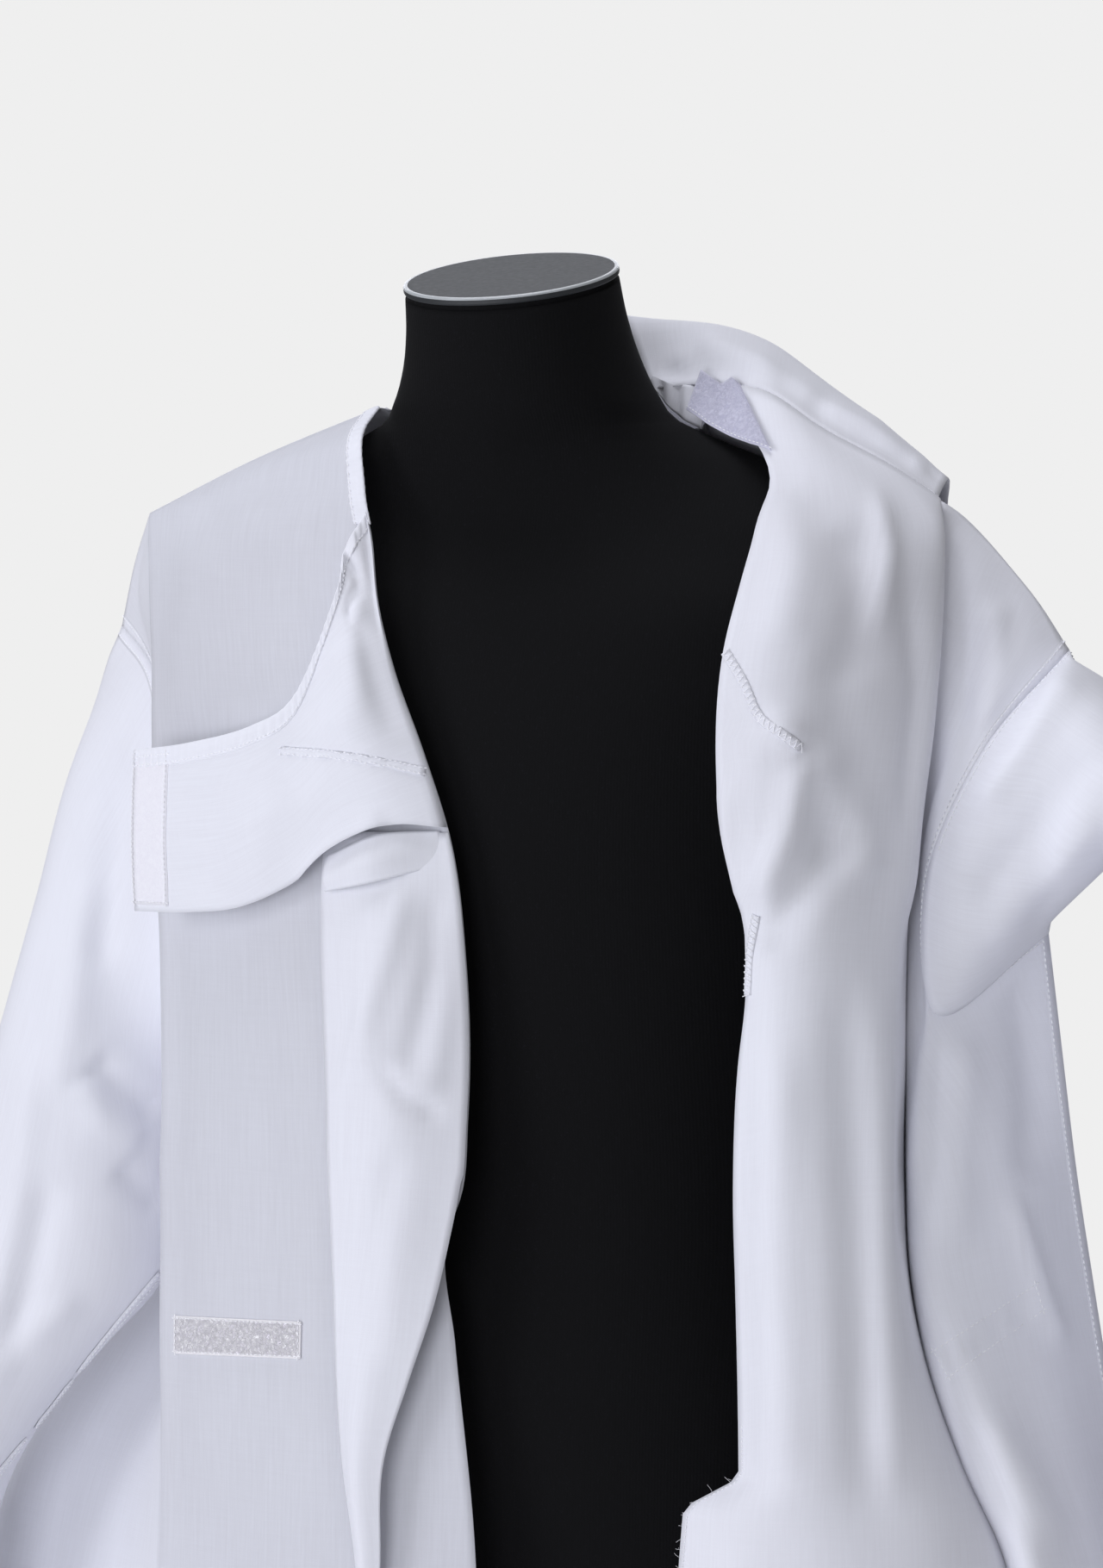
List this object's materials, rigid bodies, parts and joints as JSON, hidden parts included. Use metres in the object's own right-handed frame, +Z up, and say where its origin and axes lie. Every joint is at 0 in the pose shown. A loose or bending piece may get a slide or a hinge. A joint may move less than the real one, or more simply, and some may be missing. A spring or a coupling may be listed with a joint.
{
  "type": "alb on a limbless dress form",
  "caption": "Full-length white alb hanging open on a limbless dress form: A-line panels, one corner folded out, one front turned back and thrown over the shoulder.",
  "frame": {"origin": "centre of the underside of the round base, on the floor", "axes": "+Z up along the pole, -Y the way the dress form faces, +X the wearer's left"},
  "size_m": [0.8914, 0.4832, 1.6197],
  "materials": {
    "cotton": "thin plain-woven white cotton, slightly sheer, matte",
    "tape": "white hook-and-loop tape with a faint lilac cast",
    "jersey": "stretched black jersey, matte",
    "cap": "satin grey with a lighter rim",
    "steel": "satin black powder coat"
  },
  "bodies": {
    "root": {"back": "cotton", "front_right": "cotton", "front_right_facing": "cotton", "front_right_flap": "cotton", "front_left_side": "cotton", "front_left_turned": "cotton", "front_left_thrown": "cotton", "sleeve_right": "cotton", "sleeve_left": "cotton", "neck_binding_front": "cotton", "neck_binding_back": "cotton", "flap_binding": "cotton", "hook_strip_flap_end": "tape", "hook_strip_right_front": "tape", "hook_strip_left_shoulder": "tape", "hook_strip_left_side": "tape", "torso": "jersey", "neck_ring": "jersey", "neck_cap": "cap", "flange": "steel", "pole": "steel", "base_collar": "steel", "base": "steel"}
  },
  "joints": []
}
